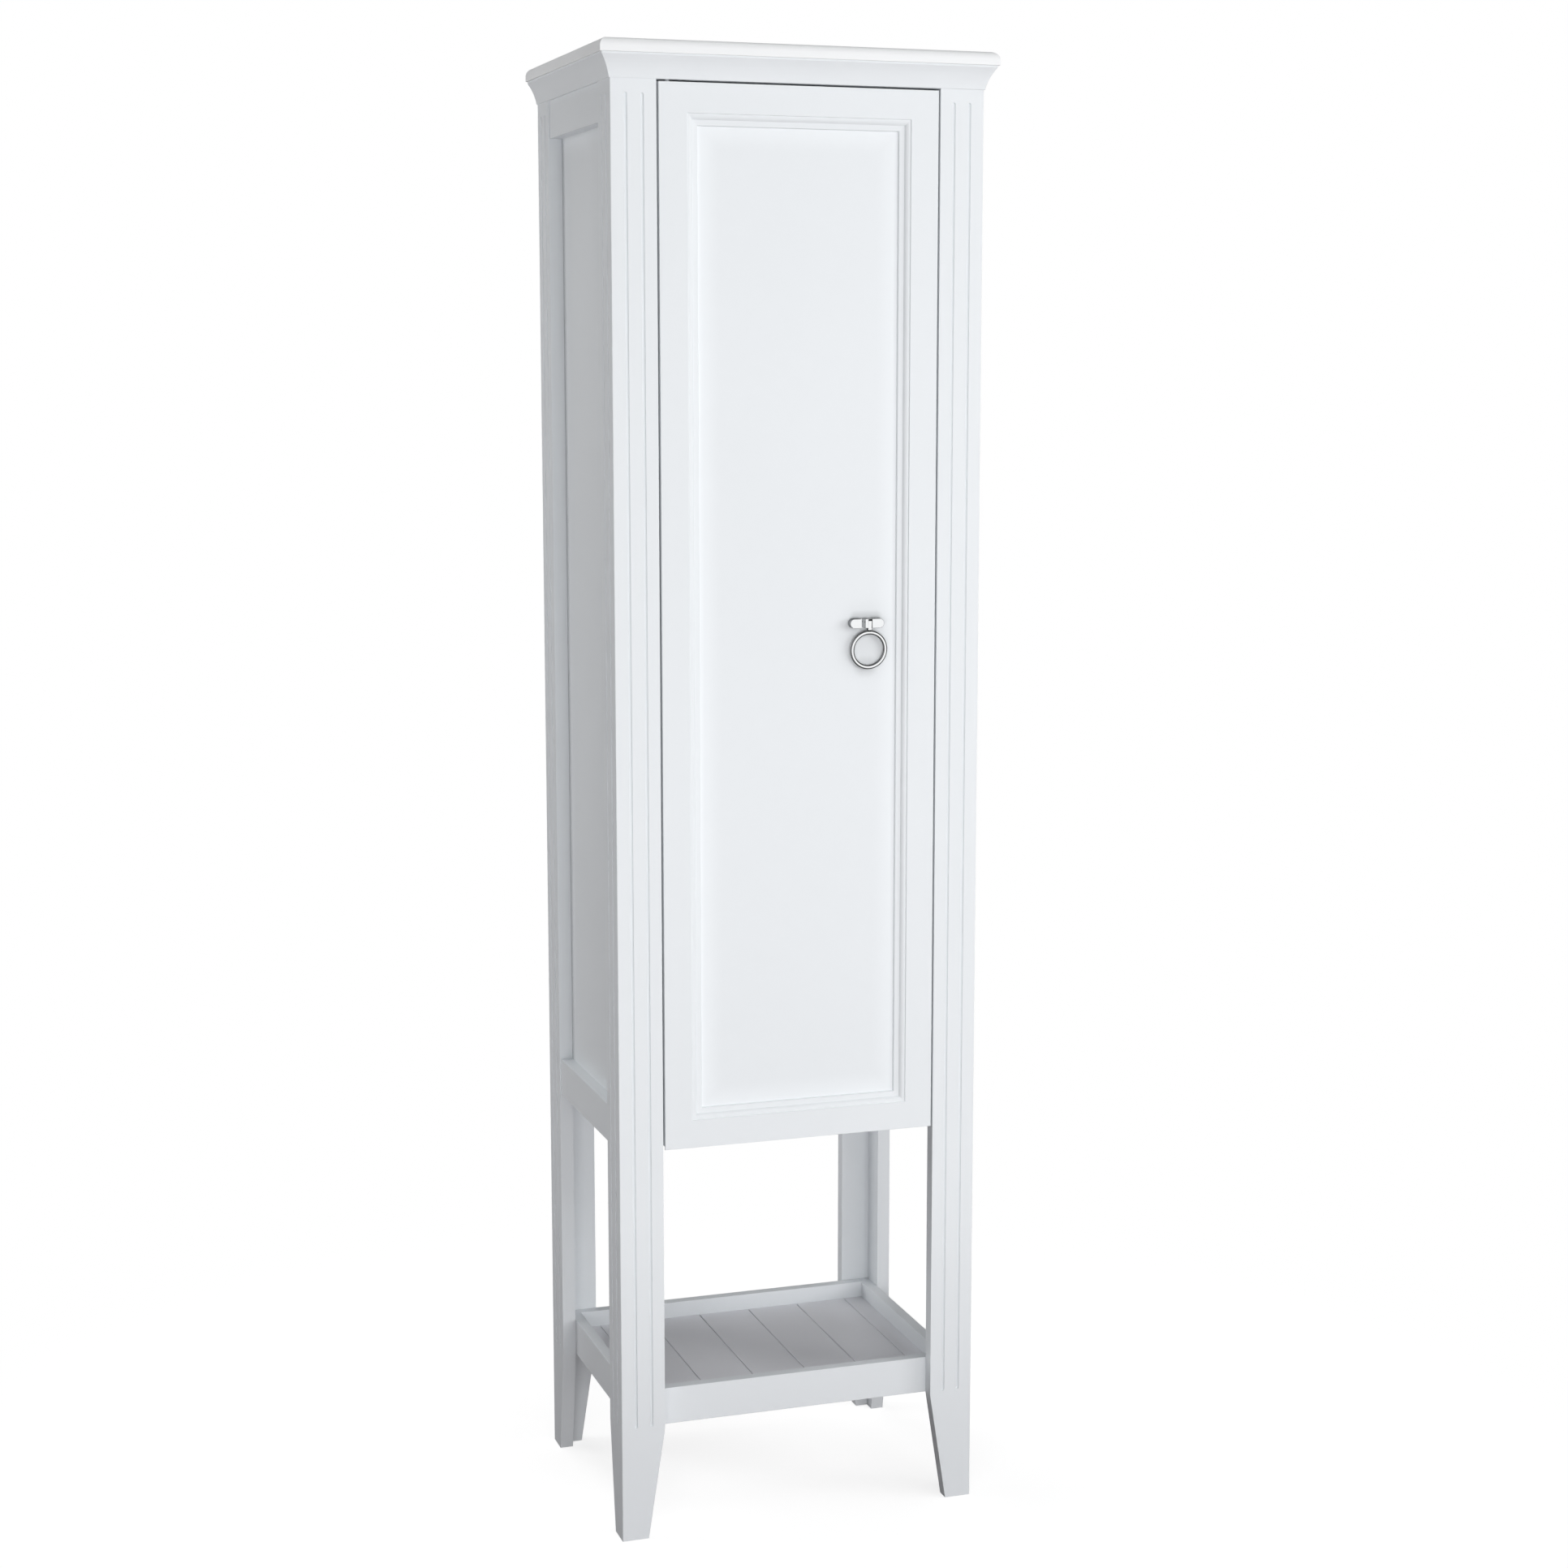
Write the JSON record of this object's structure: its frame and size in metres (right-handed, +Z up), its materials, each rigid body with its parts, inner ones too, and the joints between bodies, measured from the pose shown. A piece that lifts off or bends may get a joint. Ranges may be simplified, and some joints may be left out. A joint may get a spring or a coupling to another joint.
{
  "type": "tall bathroom cabinet",
  "caption": "Tall narrow bathroom cabinet with a panelled door and ring pull, adjustable shelves, a moulded cornice, and an open slatted tray between tapered legs.",
  "frame": {"origin": "middle of the footprint, on the floor", "axes": "+X to the viewer's right, -Y out of the door side, +Z up"},
  "size_m": [0.49, 0.365, 1.8],
  "materials": {
    "white_lacquer": "matt white lacquer on fibreboard",
    "interior_lacquer": "matt white lacquer on fibreboard",
    "glide_plastic": "matt",
    "bush_plastic": "matt nylon",
    "pin_steel": "zinc plated",
    "bracket_steel": "zinc plated",
    "screw_steel": "zinc plated",
    "bumper_rubber": "soft, translucent grey",
    "handle_chrome": "polished chrome plate"
  },
  "bodies": {
    "cabinet": {"front_left_post_face": "white_lacquer", "front_left_post_side": "white_lacquer", "front_right_post_face": "white_lacquer", "front_right_post_side": "white_lacquer", "back_left_post_face": "white_lacquer", "back_left_post_side": "white_lacquer", "back_right_post_face": "white_lacquer", "back_right_post_side": "white_lacquer", "foot_glides": "glide_plastic", "cornice_front": "white_lacquer", "cornice_left": "white_lacquer", "cornice_right": "white_lacquer", "cornice_back_rail": "white_lacquer", "cornice_slab": "white_lacquer", "left_side_panel": "interior_lacquer", "right_side_panel": "interior_lacquer", "bottom_panel": "interior_lacquer", "top_panel": "interior_lacquer", "back_panel": "interior_lacquer", "left_bottom_rail": "white_lacquer", "right_bottom_rail": "white_lacquer", "back_bottom_rail": "white_lacquer", "left_top_rail": "white_lacquer", "right_top_rail": "white_lacquer", "back_top_rail": "white_lacquer", "shelf_1": "interior_lacquer", "shelf_2": "interior_lacquer", "shelf_3": "interior_lacquer", "shelf_pins": "pin_steel", "tray_front_rail": "white_lacquer", "tray_back_rail": "white_lacquer", "tray_left_rail": "white_lacquer", "tray_right_rail": "white_lacquer", "tray_cleats": "white_lacquer", "tray_slat_1": "white_lacquer", "tray_slat_2": "white_lacquer", "tray_slat_3": "white_lacquer", "tray_slat_4": "white_lacquer", "tray_slat_5": "white_lacquer", "tray_slat_6": "white_lacquer", "tray_slat_7": "white_lacquer", "magnetic_catch": "bush_plastic", "bottom_pivot_bracket": "bracket_steel", "top_pivot_plate": "bracket_steel", "wall_bracket": "bracket_steel", "hardware_screws": "screw_steel", "door_bumpers": "bumper_rubber"},
    "door": {"door_left_stile": "white_lacquer", "door_right_stile": "white_lacquer", "door_top_rail": "white_lacquer", "door_bottom_rail": "white_lacquer", "door_panel": "white_lacquer", "pivot_bushes": "bush_plastic", "strike_plate": "bracket_steel", "strike_screws": "screw_steel", "handle_plate": "handle_chrome", "handle_screws": "screw_steel", "handle_pin": "handle_chrome"},
    "pull": {"pull_ring": "handle_chrome"}
  },
  "joints": [
    {"name": "door_hinge", "type": "hinge", "parent": "cabinet", "child": "door", "pos_m": [-0.16, -0.1595, 1.12], "axis": [0, 0, -1], "range_deg": [0, 95]},
    {"name": "ring_swing", "type": "hinge", "parent": "door", "child": "pull", "pos_m": [0.0885, -0.1666, 1.1264], "axis": [-1, 0, 0], "range_deg": [0, 95]}
  ]
}
